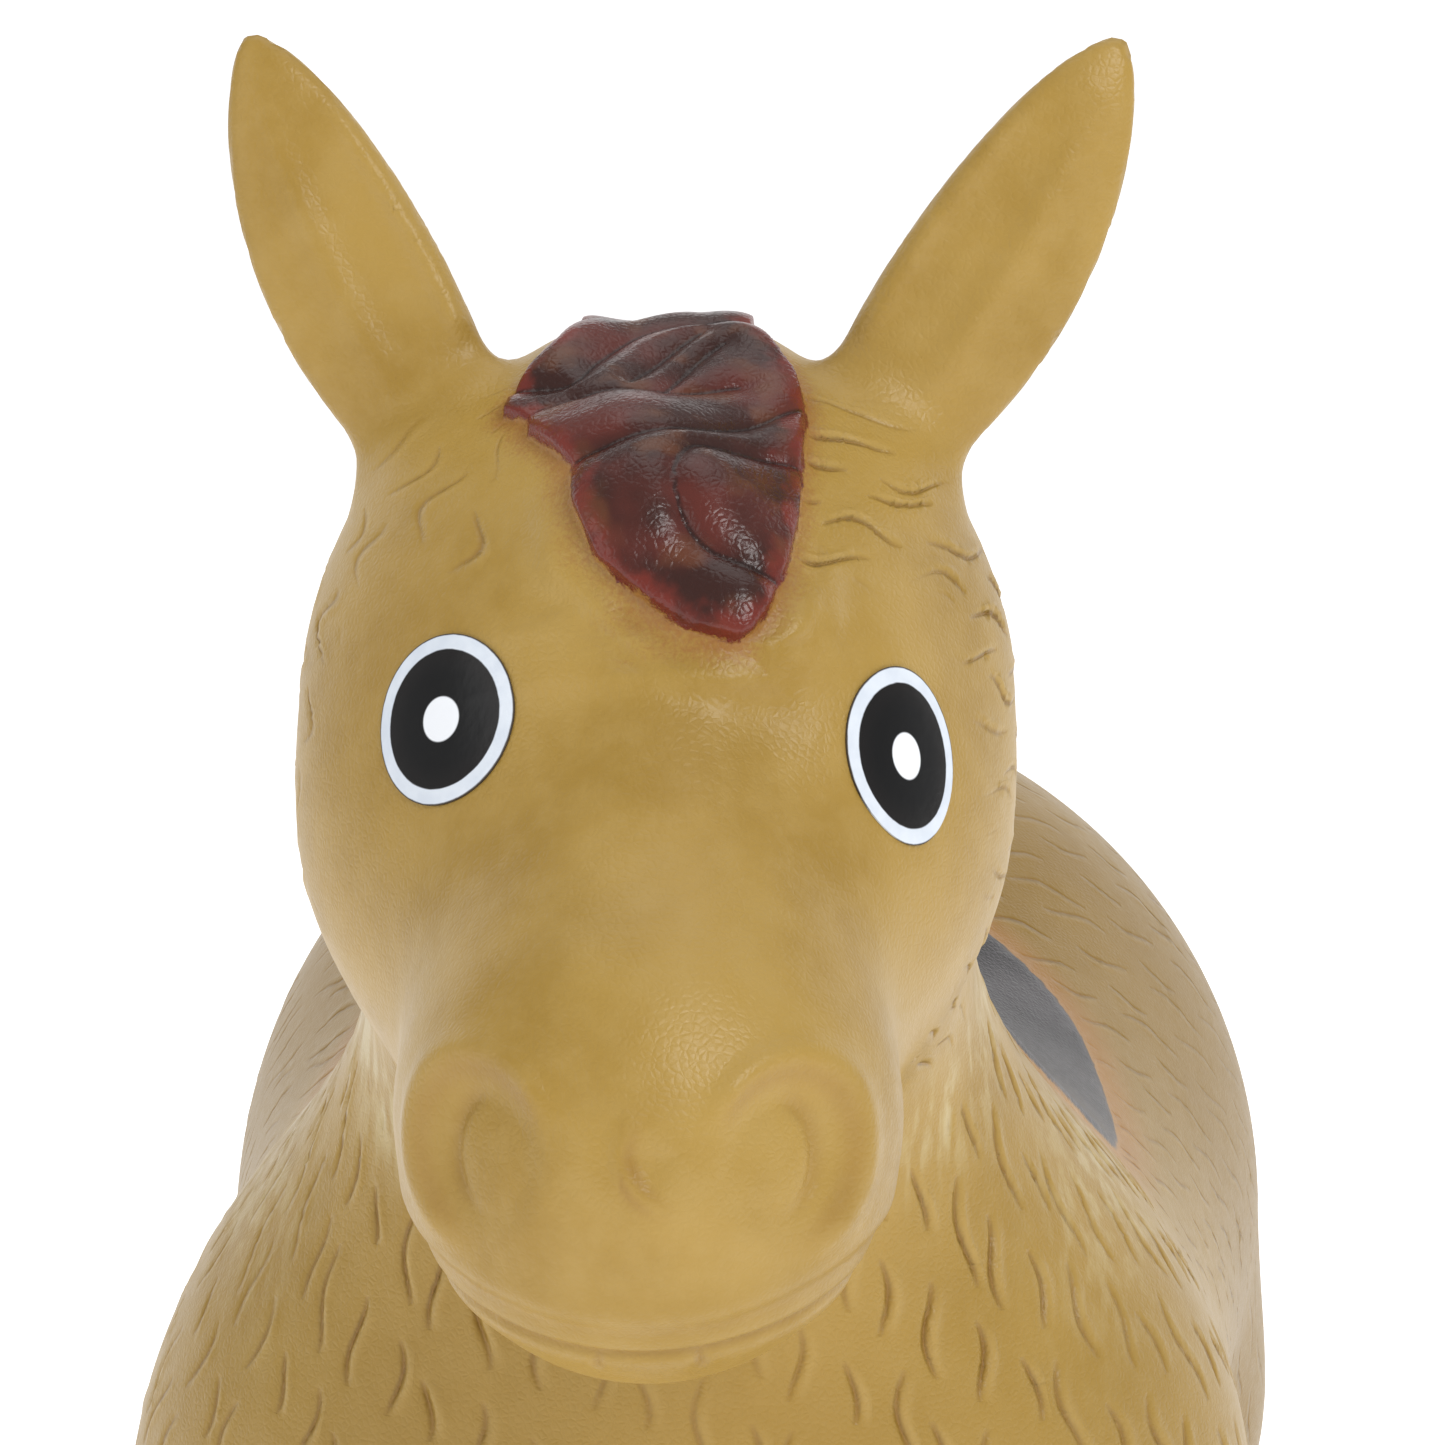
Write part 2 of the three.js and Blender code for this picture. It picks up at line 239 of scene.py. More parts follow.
def valve_dish(points):
    """Inside the dished seat and the bore of the valve."""
    q = points - VALVE_SEAT
    along = q @ VALVE_AXIS
    out = np.linalg.norm(q - along[..., None] * VALVE_AXIS, axis=-1)
    dish = np.maximum(out - 10.5, -along)
    bore = np.maximum(out - 4.5, -along - 13)
    return np.minimum(dish, bore)


def horse(points):
    p = mirrored(points)
    d = fold(TORSO + HEAD + MANE + TAIL, p)
    d = fold(FORELOCK, points, d)
    for ear in EARS:
        d = fillet(d, ear.field(points), 9)
    return -fillet(-d, valve_dish(points), 1.2)


def in_chunks(field, points, size=400_000):
    flat = points.reshape(-1, 3)
    parts = [field(flat[i : i + size]) for i in range(0, len(flat), size)]
    return np.concatenate(parts).reshape(points.shape[:-1])


def slope(field, p):
    g = np.empty_like(p)
    for axis in range(3):
        step = np.zeros(3)
        step[axis] = PROBE
        g[:, axis] = (field(p + step) - field(p - step)) / (2 * PROBE)
    return g


def settle(field, p, rounds=3):
    """The points moved along the slope onto the field's zero surface."""
    for _ in range(rounds):
        g = slope(field, p)
        p = p - g * (field(p) / np.maximum((g * g).sum(1), 1e-6))[:, None]
    return p


def surface_nets(field, low, high, step):
    """Vertices and quads of the field's zero surface on a grid."""
    n = [int(math.ceil((b - a) / step)) + 1 for a, b in zip(low, high)]
    axes = [a + step * np.arange(m) for a, m in zip(low, n)]
    grid = np.stack(np.meshgrid(*axes, indexing="ij"), -1)
    value = in_chunks(field, grid)
    inside = value < 0
    cells = tuple(m - 1 for m in n)
    total, count = np.zeros(cells + (3,)), np.zeros(cells, int)
    for axis in range(3):
        u, v = [a for a in range(3) if a != axis]
        for du in (0, 1):
            for dv in (0, 1):
                near = [slice(0, c) for c in cells]
                near[u], near[v] = slice(du, cells[u] + du), slice(dv, cells[v] + dv)
                far = list(near)
                near[axis], far[axis] = slice(0, cells[axis]), slice(1, cells[axis] + 1)
                a, b = value[tuple(near)], value[tuple(far)]
                crossed = inside[tuple(near)] != inside[tuple(far)]
                t = np.where(crossed, a / np.where(a == b, 1, a - b), 0)
                spot = np.zeros(cells + (3,))
                spot[..., axis], spot[..., u], spot[..., v] = t, du, dv
                total += np.where(crossed[..., None], spot, 0)
                count += crossed
    used = count > 0
    index = np.full(cells, -1)
    index[used] = np.arange(used.sum())
    where = np.argwhere(used)
    verts = np.array(low) + step * (where + total[used] / count[used][:, None])
    quads = []
    for axis in range(3):
        u, v = (axis + 1) % 3, (axis + 2) % 3
        near, far = [slice(1, c) for c in cells], [slice(1, c) for c in cells]
        near[axis], far[axis] = slice(0, cells[axis]), slice(1, cells[axis] + 1)
        first, second = inside[tuple(near)], inside[tuple(far)]
        for flip in (False, True):
            hit = np.argwhere((first != second) & (first != flip))
            hit = hit + [0 if a == axis else 1 for a in range(3)]
            corners = []
            for du, dv in ((0, 0), (1, 0), (1, 1), (0, 1)):
                c = hit.copy()
                c[:, u] -= du
                c[:, v] -= dv
                corners.append(index[tuple(c.T)])
            quads.append(np.stack(corners[::-1] if flip else corners, 1))
    return verts, np.vstack(quads)


# ---------------------------------------------------------------- relief moulded into the skin


def head_chart(p):
    """X, and the arc up over the forehead from the level of the eyes, both in mm."""
    lift = np.degrees(np.arctan2(p[:, 2] - HEAD_MIDDLE[2], -(p[:, 1] - HEAD_MIDDLE[1])))
    return np.stack([p[:, 0], np.where(lift < -90, lift + 360, lift) * 1.17], 1)


# The forelock's edges at heights up its arc: (arc, left edge, right edge), all mm. The front rows, and
# the front creases below, are rounded from points on the photo and cast onto the form.
# The rest are guessed.
FORELOCK_EDGES = np.array(
    [
        (24, 20, 21),
        (26, 11, 24),
        (31, 3, 27),
        (39, -7, 29),
        (50, -12, 30.5),
        (61, -13.5, 31),
        (69, -19.5, 31),
        (74, -23, 31),
        (79, -24, 31),
        (84, -29, 31),
        (90, -29, 30.5),
        (97, -25, 28.5),
        (104, -20, 24),
        (112, -17, 19),
        (150, -16, 17),
        (185, -14, 14),
    ],
    float,
)

# Creases between the forelock's locks, as (X, arc).
FORELOCK_CREASES = [
    [(-12, 60), (1, 64), (12, 69), (22, 77), (31, 88)],
    [(31, 67), (17, 63.5), (10, 61), (7, 55), (8, 49), (11, 43), (17, 38.5), (28, 35)],
    [(-27, 91), (-16, 89), (-11, 97), (-3, 107), (12, 111), (28, 112)],
    [(-4, 87), (3, 98), (9, 106)],
    [(3, 83), (8, 94), (14, 103)],
    [(-22, 80), (-8, 83), (5, 84), (18, 90)],
    [(-28, 104), (-10, 117), (12, 124), (28, 123)],
    [(-26, 118), (-6, 132), (14, 138), (26, 136)],
    [(-24, 134), (-4, 147), (14, 154), (24, 152)],
    [(-22, 150), (-2, 163), (12, 170), (20, 168)],
]


def forelock_edge(p):
    """Distance inside the forelock's painted outline, negative outside."""
    q = head_chart(p)
    arcs, left, right = FORELOCK_EDGES.T
    low, high = np.interp(q[:, 1], arcs, left), np.interp(q[:, 1], arcs, right)
    lean = np.hypot(1, np.interp(q[:, 1], arcs, np.gradient(left, arcs)))
    edge = np.minimum((q[:, 0] - low) / lean, high - q[:, 0])
    edge = np.minimum(edge, q[:, 1] - arcs[0])
    front = (p[:, 2] > 380) & (p[:, 1] < -60) & (q[:, 1] < 185)
    return np.where(front, edge, -40.0)


def locks(across, along, period, wave):
    """Rounded ridges with sharp creases between, which wander as they run along."""
    sweep = across / period + 0.45 * np.sin(along / wave + 0.7 * np.sin(across / period))
    return np.abs(np.sin(math.pi * sweep)) ** 0.6


# Each function here adds one feature to height and to the depth in its creases, in place; the material darkens
# that depth as painted shade.


def forelock_detail(p, height, cut):
    """Locks that puff up between their creases."""
    q = head_chart(p)
    edge = forelock_edge(p)
    near = edge > -14
    if near.any():
        away = np.full(near.sum(), 1e9)
        for path in FORELOCK_CREASES:
            away = np.minimum(away, to_path(q[near], path)[0])
        inside = np.clip(edge[near], 0, None)
        puff = 2.7 * (1 - np.exp(-away / 3.4)) + 1.3 * (1 - np.exp(-inside / 2.2))
        swell = 0.8 * np.sin(q[near, 0] / 6.5 + q[near, 1] / 9.0) * smoothstep(inside, 0, 8)
        shown = smoothstep(edge[near], -0.6, 1.2)
        sunk = 3.6 * smoothstep(inside, 0, 12) * smoothstep(q[near, 1], 62, 88)
        height[near] += (puff + swell - sunk) * shown
        height[near] += 1.1 * bell(edge[near] + 6.5, 2.6) * smoothstep(-p[near, 1], 205, 225)
        cut[near] += bell(away, 0.6) * shown


def mane_and_tail_detail(p, height, cut):
    """Sharp-edged locks that sweep down from the middle."""
    inside = hair_edge(p)
    plain_hair = (inside > -2) & (forelock_edge(p) < -1)
    fall = p[:, 2] * 0.75 - p[:, 1] * 0.65
    strand = locks(np.abs(p[:, 0]) + 0.45 * fall, fall, 9.5, 16.0)
    on = smoothstep(inside, -0.8, 2.0) * plain_hair
    height += on * (1.9 * strand + 0.7)
    cut += on * (1 - smoothstep(strand, 0.05, 0.5))


def face_detail(p, height, cut):
    """The brow, nose and cheeks, and the ridge beside the forelock."""
    m = mirrored(p)

    def lump(centre, size, high, one_side=False):
        c = np.array(centre, float)
        source = p if one_side else m
        return high * np.exp(-(((source - c) / size) ** 2).sum(1))

    height += lump([44, -214, 404], [15, 18, 17], 2.6, one_side=True)
    height += lump([-34, -222, 408], [17, 18, 15], 1.0, one_side=True)
    height -= lump([27, -236, 396], [8, 12, 15], 1.4, one_side=True)
    height -= lump([26, -240, 372], [14, 16, 15], 2.2)
    height += lump([0, -244, 372], [8, 16, 26], 1.2)
    height -= lump([44, -236, 340], [16, 20, 18], 1.6)
    brow = [(34.5, -211, 425), (32.5, -223, 413), (32, -230, 402)]
    away, share = to_path(p, brow)
    groove = bell(away, 1.2) * np.sin(math.pi * np.clip(share * 0.94 + 0.03, 0, 1)) ** 0.5
    height -= 1.9 * groove
    height += 0.9 * bell(away - 4.5, 2.8) * np.sin(math.pi * share)
    cut += 0.9 * groove

    ridge = [(-10.6, -222, 422), (-4, -230, 414), (6, -235, 407), (11, -237, 404)]
    away, share = to_path(p, ridge)
    swell = np.sin(math.pi * np.clip(share * 0.96 + 0.02, 0, 1))
    height += swell * (0.9 * bell(away, 1.8) - 0.5 * bell(away - 4, 2.0))


def nostril_detail(p, height, cut):
    """A rolled rim, open at the bottom, round a shallow hollow."""
    m = mirrored(p)
    face = smoothstep(-p[:, 1], 262, 278) * smoothstep(p[:, 2], 298, 306)
    dx, dz = (m[:, 0] - 28) / 14.0, (p[:, 2] - 324) / 18.0
    ring = (np.hypot(dx, dz) - 1) * 15.5
    turn = np.degrees(np.arctan2(dz, dx))
    arc = smoothstep(turn, -85, -45) * (1 - smoothstep(turn, 125, 160))
    height += face * arc * (2.1 * bell(ring - 0.8, 2.7) + 0.5 * bell(ring - 5.0, 4.0))
    hollow = smoothstep(-ring, 0.5, 7.0)
    height -= face * 2.2 * hollow * (0.45 + 0.55 * smoothstep(m[:, 0] * 0.8 + p[:, 2] * 0.6, 205, 225))
    curl = bell(np.hypot(dx * 1.55 + 0.12, dz * 1.35) * 11 - 10, 1.5)
    inner = curl * smoothstep(dx, -0.1, 0.3) * smoothstep(dz, -0.8, -0.3)
    height -= face * 0.9 * inner * smoothstep(-ring, 1, 4)
    cut += face * (0.5 * arc * bell(ring + 1.8, 1.6) + 0.4 * inner * smoothstep(-ring, 1, 4))


def philtrum_detail(p, height, cut):
    """The short groove between the nostrils."""
    away, share = to_path(p, [(5.2, -300.5, 334), (3.6, -302, 327), (6.4, -302.4, 321), (11, -302, 317)])
    fade = np.sin(math.pi * np.clip(share * 0.9 + 0.05, 0, 1))
    cut += 0.7 * fade * bell(away - 1.6, 1.2) * (p[:, 0] > 3.5)
    height += fade * (1.1 * bell(away, 1.9) - 1.1 * bell(np.hypot(p[:, 0] - 9.5, (p[:, 2] - 327) * 0.8), 5))


def mouth_detail(p, height, cut):
    """The fold of the upper lip, then the thin line between the lips."""
    across = mirrored(p)[:, 0]
    low_front = smoothstep(-p[:, 1], 246, 262)
    fold_line = p[:, 2] - (291.5 + 0.0055 * across**2)
    height += low_front * (0.8 * bell(fold_line - 3.5, 4.0) - 0.7 * bell(fold_line + 1.2, 2.4))
    line = p[:, 2] - (285.0 + 0.0052 * across**2)
    height -= low_front * 1.1 * bell(line, 0.9)
    height += low_front * 0.5 * bell(line + 3, 2.4)
    cut += low_front * (0.5 * bell(line, 0.7) + 0.15 * bell(fold_line + 1.2, 1.6))
    for x in (-2.0, 17.0):
        notch = bell(p[:, 0] - x, 0.8) * smoothstep(-line, 0, 1) * (1 - smoothstep(-line, 3.5, 5.5))
        height -= 0.8 * low_front * notch
        cut += 0.5 * low_front * notch


def body_detail(p, height, cut):
    """The saddle's pad, raised a little from the back, and a step round each hoof."""
    pad = saddle_edge(p)
    height += 1.6 * smoothstep(pad, -1.5, 2.5)

    foot = p[:, 2] - 26 - 2.0 * np.sin(np.arctan2(p[:, 1], p[:, 0]) * 3)
    height -= 0.9 * bell(foot, 2.2) * (p[:, 2] < 60)


DETAILS = (
    forelock_detail,
    mane_and_tail_detail,
    face_detail,
    nostril_detail,
    philtrum_detail,
    mouth_detail,
    body_detail,
)


def relief(p):
    """Height of the moulded detail over the plain form, and the depth in its creases, both mm; the depth is
    darkened as painted shade in the material.
    """
    height, cut = np.zeros(len(p)), np.zeros(len(p))
    for detail in DETAILS:
        detail(p, height, cut)
    return height, cut


def barrel_chart(p):
    """The arc down each side from the back's middle, and Y, both mm."""
    arc = np.arctan2(np.abs(p[:, 0]), p[:, 2] - BARREL_HEIGHT) * BARREL_RADIUS
    return arc, p[:, 1]


def saddle_edge(p):
    """Distance inside the saddle's outline, negative outside."""
    arc, y = barrel_chart(p)
    around, along = np.abs(arc / BARREL_RADIUS), np.abs((y - SADDLE_MIDDLE) / SADDLE_HALF_LENGTH)
    away = (around**2.3 + along**2.3) ** (1 / 2.3)
    ripple = 1.6 * np.sin(arc / 11) * np.sin(y / 17)
    neck = 0.894 * (328 - p[:, 2] + 0.5 * y)
    return np.where(p[:, 2] > 215, np.minimum((1 - away) * 82, neck) + ripple, -60.0)


def above_neck(p):
    """Height over the plane between the neck and the head."""
    return (p[:, 2] - 0.5 * p[:, 1] - 372) * 0.894


def fur_charts(p):
    """Two charts of (across, along, strength) for the engraved fur. The second is for the back and legs."""
    m = mirrored(p)
    x, y, z = p.T
    side_of = np.where(x < 0, -1, 1)
    paint = np.maximum(hair_edge(p), saddle_edge(p))
    clear = 1 - smoothstep(paint, -3, 0)
    above_legs = smoothstep(z, 96, 108)

    around = np.arctan2(x, -(y + 40))
    fan = 1 + 0.0028 * (z - 200)
    front = np.stack([around * 112 * fan, -z, above_legs * (1 - smoothstep(y, -52, -44))], 1)
    cheek = np.arctan2(m[:, 0], -(y + 165))
    by_ears = smoothstep(z, 414, 424) * smoothstep(-y, 168, 180) * smoothstep(m[:, 0], 27, 33)
    by_cheeks = smoothstep(cheek, 1.05, 1.25) * smoothstep(-z, -424, -414)
    by_cheeks = by_cheeks * smoothstep(above_neck(p), 8, 26)
    over, down = cheek * 50, -z * 1.6
    over, down = np.where(x > 0, [0.5 * over - 0.87 * down, 0.87 * over + 0.5 * down], [over, down])
    over = over + 1.8 * np.sin(down / 3.4)
    head = np.stack([over * side_of + 300, down, np.clip(by_ears + by_cheeks, 0, 1)], 1)
    up = above_neck(p)
    chart = np.where(up[:, None] > 0, head, front)
    chart[:, 2] *= smoothstep(np.abs(up), 1, 6) * clear

    arc, _ = barrel_chart(p)
    lean = math.radians(35)
    across, along = math.sin(lean) * arc - math.cos(lean) * y, math.cos(lean) * arc + math.sin(lean) * y
    back = np.stack([across * side_of, along, above_legs * smoothstep(y, -52, -44)], 1)
    middle = np.where(y < 40, -105, 188)
    leg = np.arctan2(np.abs(x) - 83, -(y - middle)) * 54
    legs = np.stack([leg * side_of + 500 + middle, -z, smoothstep(z, 32, 42) * (1 - smoothstep(z, 84, 96))], 1)
    back = np.where(z[:, None] < 96, legs, back)
    back[:, 2] *= clear

    for c in (chart, back):
        u, v = c[:, 0].copy(), c[:, 1].copy()
        c[:, 0] += 3.5 * np.sin(v / 31 + 1.3 * np.sin(u / 43))
        c[:, 1] += 5.0 * np.sin(u / 27 + 1.1 * np.sin(v / 51))
        c[:, 2] *= 0.72 + 0.28 * np.sin(u / 19 + 2 * np.sin(v / 33)) * np.sin(v / 23)
    return chart, back


def painted_sheen(p):
    """Where a pale sheen is painted on as a highlight: in the fold behind the cheeks, and along the shoulders'
    crests.
    """
    x, y, z = np.abs(p[:, 0]), p[:, 1], p[:, 2]
    fold = bell(above_neck(p), 11) * smoothstep(x, 42, 60) * (1 - smoothstep(y, -90, -60))
    crest = bell(x - 88, 15) * bell(z - 258, 30) * bell(y + 80, 45)
    return np.clip(fold + 0.9 * crest, 0, 1)


def hair_edge(p):
    """Distance inside the brown paint of the forelock, mane and tail."""
    run, share = to_path(p[:, 1:], [(-158, 462), (-120, 446), (-92, 412), (-66, 372), (-42, 330), (-30, 300)])
    ripple = np.sin(p[:, 2] / 7.0 + np.sin(p[:, 2] / 17.0) + p[:, 0] / 9.0)
    half = 16.5 - 6 * smoothstep(share, 0.75, 1.0) + 1.1 * ripple
    mane = np.minimum(half - np.abs(p[:, 0]), 26 - run)
    mane = np.where(share > 0.02, mane, -40)
    run, share = to_path(p[:, 1:], [(232, 284), (266, 262), (281, 230), (288, 195), (288, 165), (280, 150)])
    ripple = np.sin(p[:, 2] / 6.0 + 1.4 * np.sin(p[:, 2] / 15.0) + p[:, 0] / 8.0)
    half = 6 + 15 * np.sin(math.pi * np.clip(share * 0.86 + 0.1, 0, 1)) + 0.9 * ripple
    tail = np.minimum(half - np.abs(p[:, 0]), 20 - run)
    tail = np.minimum(tail, 90 * np.minimum(share, 1.001 - share) + 0.5)
    return np.maximum(np.maximum(forelock_edge(p), tail), mane)


# ---------------------------------------------------------------- meshes


def to_metres(p):
    return (np.asarray(p) + [0, OFFSET_Y, 0]) / 1000


def mesh_object(name, verts, faces):
    mesh = bpy.data.meshes.new(name)
    mesh.from_pydata(to_metres(verts).tolist(), [], [list(map(int, f)) for f in faces])
    mesh.polygons.foreach_set("use_smooth", [True] * len(mesh.polygons))
    mesh.update()
    obj = bpy.data.objects.new(name, mesh)
    bpy.context.scene.collection.objects.link(obj)
    return obj


def add_attribute(obj, name, values):
    kind = "FLOAT" if np.ndim(values) == 1 else "FLOAT_VECTOR"
    attribute = obj.data.attributes.new(name, kind, "POINT")
    key = "value" if kind == "FLOAT" else "vector"
    attribute.data.foreach_set(key, np.asarray(values, np.float32).ravel())


def split_faces(verts, faces, pick):
    """Every face in four, where pick() chooses its middle, with its neighbours fitted to it."""
    bm = bmesh.new()
    for v in verts:
        bm.verts.new(v)
    bm.verts.ensure_lookup_table()
    for f in faces:
        try:
            bm.faces.new([bm.verts[i] for i in f])
        except ValueError:  # the same corners twice, where two sheets nearly touch
            pass
    middles = np.array([f.calc_center_median() for f in bm.faces])
    edges = {e for f, chosen in zip(bm.faces, pick(middles)) if chosen for e in f.edges}
    bmesh.ops.subdivide_edges(bm, edges=list(edges), cuts=1, use_grid_fill=True)
    verts = np.array([v.co for v in bm.verts])
    bm.verts.index_update()
    faces = [[v.index for v in f.verts] for f in bm.faces]
    bm.free()
    return verts, faces


def vertex_normals(verts, faces):
    """Area-weighted normals, worked out over the whole skin before it is cut into pieces."""
    corners = [(f[i - 1], f[i], f[(i + 1) % len(f)]) for f in faces for i in range(len(f))]
    a, b, c = np.array(corners).T
    face = np.cross(verts[c] - verts[b], verts[a] - verts[b])
    total = np.zeros_like(verts)
    for axis in range(3):
        total[:, axis] = np.bincount(b, face[:, axis], len(verts))
    return total / np.maximum(np.linalg.norm(total, axis=1), 1e-12)[:, None]


def fract(x):
    return x - np.floor(x)


def fur_relief(chart):
    """Grooves of the engraved fur: one S-shaped stroke in each cell of a staggered lattice."""
    u, v, strength = chart.T
    u, v = u / FUR_ACROSS, v / FUR_ALONG
    i = np.floor(u)
    a = u - i - 0.5
    v = v + fract(i * FIRST_SHARE[0])
    j = np.floor(v)
    b = v - j - 0.5
    first = fract(i * FIRST_SHARE[0] + j * FIRST_SHARE[1])
    second = fract(i * SECOND_SHARE[0] + j * SECOND_SHARE[1])
    bend = STROKE_WAVE * np.sin(2 * math.pi * (b * 1.05 + first)) + (second - 0.5) * STROKE_LEAN
    taper = np.clip(1 - (b / (STROKE_SHORTEST + STROKE_EXTRA * first)) ** 2, 0, 1)
    away = (a - bend) * FUR_ACROSS
    groove, lip = np.sqrt(taper) * bell(away, 0.9), taper * bell(away - 2.1, 1.3)
    return strength * (0.4 * lip - 0.85 * groove)


def build_skin():
    """The skin's plain and shaped vertices, its faces, and what the material reads at each vertex."""
    verts, faces = surface_nets(horse, [-150, -312, -9], [150, 300, 530], COARSE)
    verts = settle(horse, verts, rounds=2)

    def detailed(c):
        front = (c[:, 1] < CHEST_END) & (c[:, 2] > 20) | (above_neck(c) > -20)
        return front | (np.linalg.norm(c - VALVE_SEAT, axis=1) < 16)

    def fine(c):
        lips = (c[:, 1] < -256) & (c[:, 2] > 278) & (c[:, 2] < 346)
        hair = (forelock_edge(c) > -2) & (c[:, 1] < -140) | (np.linalg.norm(c - [33, -222, 412], axis=1) < 20)
        return hair | lips | (np.linalg.norm(c - VALVE_SEAT, axis=1) < 13.5)

    verts, faces = split_faces(verts, faces, detailed)
    verts = settle(horse, verts, rounds=1)
    verts, faces = split_faces(verts, faces, fine)
    verts = settle(horse, verts, rounds=2)
    g = slope(horse, verts)
    normals = g / np.linalg.norm(g, axis=1)[:, None]
    height, cut = relief(verts)
    chart, back = fur_charts(verts)
    height = height + fur_relief(chart) * (verts[:, 1] < -28) + 0.4 * fur_relief(back)
    shaped = verts + normals * height[:, None]
    shaped[:, 2] = np.maximum(shaped[:, 2], 0.0)
    facts = {
        "sheen_mask": painted_sheen(verts),
        "crease_shade": cut,
        "hair": hair_edge(verts),
        "saddle": saddle_edge(verts),
        "fur": chart,
        "fur_back": back,
    }
    return verts, shaped, faces, facts


def cut_out(name, chosen, skin):
    """One piece of the skin with the whole skin's normals, so that no line shows where pieces meet."""
    shaped, faces, facts, normals = skin
    own = [f for f, take in zip(faces, chosen) if take]
    used = np.unique(np.concatenate([np.array(f) for f in own]))
    renumber = np.full(len(shaped), -1)
    renumber[used] = np.arange(len(used))
    obj = mesh_object(name, shaped[used], [renumber[f] for f in own])
    for key, values in facts.items():
        add_attribute(obj, key, values[used])
    obj.data.normals_split_custom_set_from_vertices(normals[used].tolist())
    return obj


# ---------------------------------------------------------------- materials


class Nodes:
    """A material's node tree, with short calls for the few kinds of node used here."""

    def __init__(self, name):
        self.material = bpy.data.materials.new(name)
        self.material.use_nodes = True
        self.tree = self.material.node_tree
        self.shader = self.tree.nodes["Principled BSDF"]
        self.shader.inputs["Specular IOR Level"].default_value = 0.5

    def node(self, kind, **inputs):
        node = self.tree.nodes.new(kind)
        for key, value in inputs.items():
            self.feed(node.inputs[key.replace("_", " ")], value)
        return node

    def feed(self, socket, value):
        if isinstance(value, bpy.types.NodeSocket):
            self.tree.links.new(value, socket)
        else:
            socket.default_value = value

    def math(self, operation, a, b=0.0, clamp=False):
        node = self.tree.nodes.new("ShaderNodeMath")
        node.operation, node.use_clamp = operation, clamp
        self.feed(node.inputs[0], a)
        self.feed(node.inputs[1], b)
        return node.outputs[0]

    def add(self, a, b):
        return self.math("ADD", a, b)

    def sub(self, a, b):
        return self.math("SUBTRACT", a, b)

    def mul(self, a, b):
        return self.math("MULTIPLY", a, b)

    def ramp(self, x, low, high, to_low=0.0, to_high=1.0):
        node = self.tree.nodes.new("ShaderNodeMapRange")
        node.interpolation_type = "SMOOTHSTEP"
        for socket, value in zip(node.inputs, (x, low, high, to_low, to_high)):
            self.feed(socket, value)
        return node.outputs[0]

    def bell(self, x, width):
        square = self.math("POWER", self.math("ABSOLUTE", self.mul(x, 1 / width)), 2.0)
        return self.math("EXPONENT", self.mul(square, -1.0))

    def attribute(self, name, output="Fac"):
        node = self.tree.nodes.new("ShaderNodeAttribute")
        node.attribute_name = name
        return node.outputs[output]

    def place(self):
        return self.node("ShaderNodeTexCoord").outputs["Object"]

    def noise(self, scale, detail=2.0, stretch=None, rough=0.5):
        place = self.place()
        if stretch:
            place = self.node("ShaderNodeMapping", Vector=place, Scale=stretch).outputs[0]
        node = self.node("ShaderNodeTexNoise", Vector=place, Scale=scale, Detail=detail, Roughness=rough)
        return node.outputs["Fac"]

    def grain(self, scale):
        node = self.node("ShaderNodeTexVoronoi", Vector=self.place(), Scale=scale)
        node.feature = "DISTANCE_TO_EDGE"
        return node.outputs["Distance"]

    def mix(self, share, a, b):
        node = self.tree.nodes.new("ShaderNodeMix")
        node.data_type = "RGBA"
        self.feed(node.inputs["Factor"], share)
        self.feed(node.inputs["A"], a)
        self.feed(node.inputs["B"], b)
        return node.outputs["Result"]

    def fur(self, name):
        """The same strokes as fur_relief, drawn sharply: their groove, and the lip beside it."""
        parts = self.node("ShaderNodeSeparateXYZ", Vector=self.attribute(name, "Vector"))
        u, v = self.mul(parts.outputs[0], 1 / FUR_ACROSS), self.mul(parts.outputs[1], 1 / FUR_ALONG)
        i = self.math("FLOOR", u)
        a = self.sub(self.math("FRACT", u), 0.5)
        v = self.add(v, self.math("FRACT", self.mul(i, FIRST_SHARE[0])))
        j = self.math("FLOOR", v)
        b = self.sub(self.math("FRACT", v), 0.5)
        first = self.math("FRACT", self.add(self.mul(i, FIRST_SHARE[0]), self.mul(j, FIRST_SHARE[1])))
        second = self.math("FRACT", self.add(self.mul(i, SECOND_SHARE[0]), self.mul(j, SECOND_SHARE[1])))
        turn = self.mul(self.add(self.mul(b, 1.05), first), 2 * math.pi)
        wave = self.mul(self.math("SINE", turn), STROKE_WAVE)
        bend = self.add(wave, self.mul(self.sub(second, 0.5), STROKE_LEAN))
        reach = self.math("DIVIDE", b, self.add(self.mul(first, STROKE_EXTRA), STROKE_SHORTEST))
        taper = self.math("SUBTRACT", 1.0, self.mul(reach, reach), clamp=True)
        away = self.mul(self.sub(a, bend), FUR_ACROSS)
        groove = self.mul(self.math("SQRT", taper), self.bell(away, 0.62))
        lip = self.mul(taper, self.bell(self.sub(away, 2.0), 1.2))
        return self.mul(groove, parts.outputs[2]), self.mul(lip, parts.outputs[2])

    def bump(self, height, distance, strength=1.0):
        node = self.node("ShaderNodeBump", Height=height, Distance=distance, Strength=strength)
        return node.outputs["Normal"]


def colour(red, green, blue):
    """A colour given in sRGB, 0 to 255, as the shader wants it."""
    share = [v / 255 for v in (red, green, blue)]
    return tuple(v / 12.92 if v <= 0.04045 else ((v + 0.055) / 1.055) ** 2.4 for v in share) + (1.0,)


